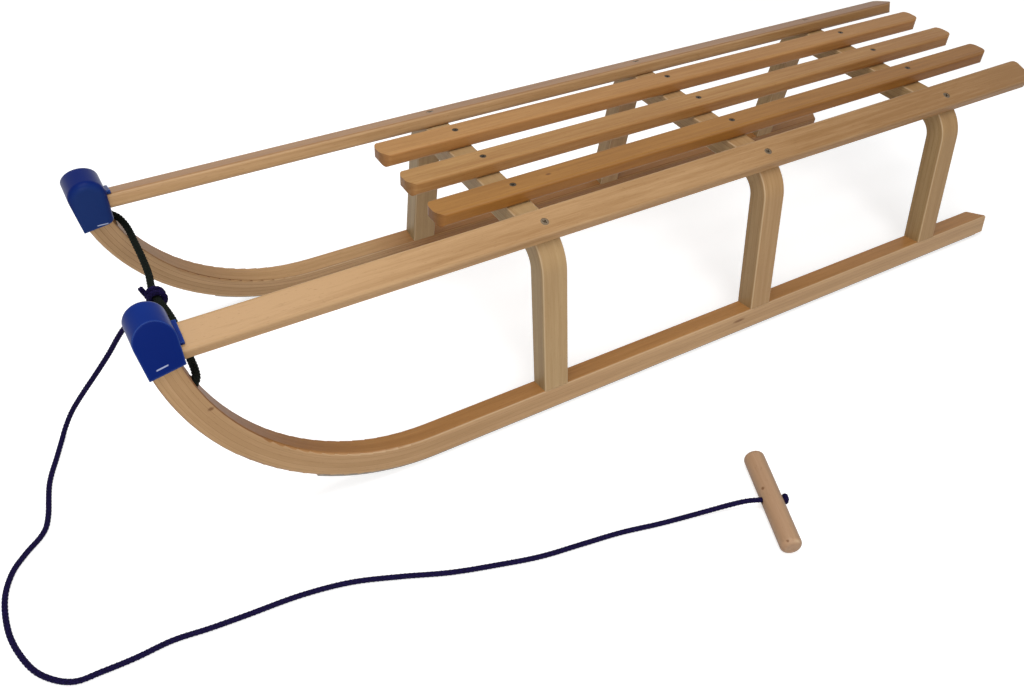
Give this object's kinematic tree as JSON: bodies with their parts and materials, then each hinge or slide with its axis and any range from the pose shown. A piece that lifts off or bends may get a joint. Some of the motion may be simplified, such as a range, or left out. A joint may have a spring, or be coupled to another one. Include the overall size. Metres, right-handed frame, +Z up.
{
  "type": "wooden sledge",
  "caption": "Wooden sledge with curved runners, bent-wood arches, a slatted seat between side rails, plastic horn caps, a cross cord and a tow rope with a toggle handle.",
  "frame": {"origin": "on the ground under the middle of the length from the deck's rear end to the front of the horn caps, midway between the runners", "axes": "+X towards the curved front, +Y to the sledge's left as its rider faces, +Z up"},
  "size_m": [1.2595, 0.6024, 0.239],
  "materials": {
    "beech": "clear satin varnish",
    "strip_steel": "bright rolled strip, slightly scuffed",
    "screw_steel": "dull zinc plated",
    "cap_plastic": "semi-gloss moulded",
    "front_cord": "tight matt braid",
    "tow_rope": "braided",
    "handle_wood": "turned and sanded"
  },
  "bodies": {
    "root": {"runner_left": "beech", "runner_right": "beech", "arch_front": "beech", "arch_middle": "beech", "arch_rear": "beech", "side_rail_left": "beech", "side_rail_right": "beech", "slat_left": "beech", "slat_centre": "beech", "slat_right": "beech", "runner_shoe_left": "strip_steel", "runner_shoe_right": "strip_steel", "shoe_screws_left": "screw_steel", "shoe_screws_right": "screw_steel", "leg_screws_left": "screw_steel", "leg_screws_right": "screw_steel", "slat_screws_front": "screw_steel", "slat_screws_middle": "screw_steel", "slat_screws_rear": "screw_steel", "rail_screws_front": "screw_steel", "rail_screws_middle": "screw_steel", "rail_screws_rear": "screw_steel", "horn_screws": "screw_steel", "horn_cap_left": "cap_plastic", "horn_cap_right": "cap_plastic", "front_cord": "front_cord", "rope_knot": "tow_rope", "tow_rope": "tow_rope", "stopper_knot": "tow_rope", "pull_handle": "handle_wood"}
  },
  "joints": []
}
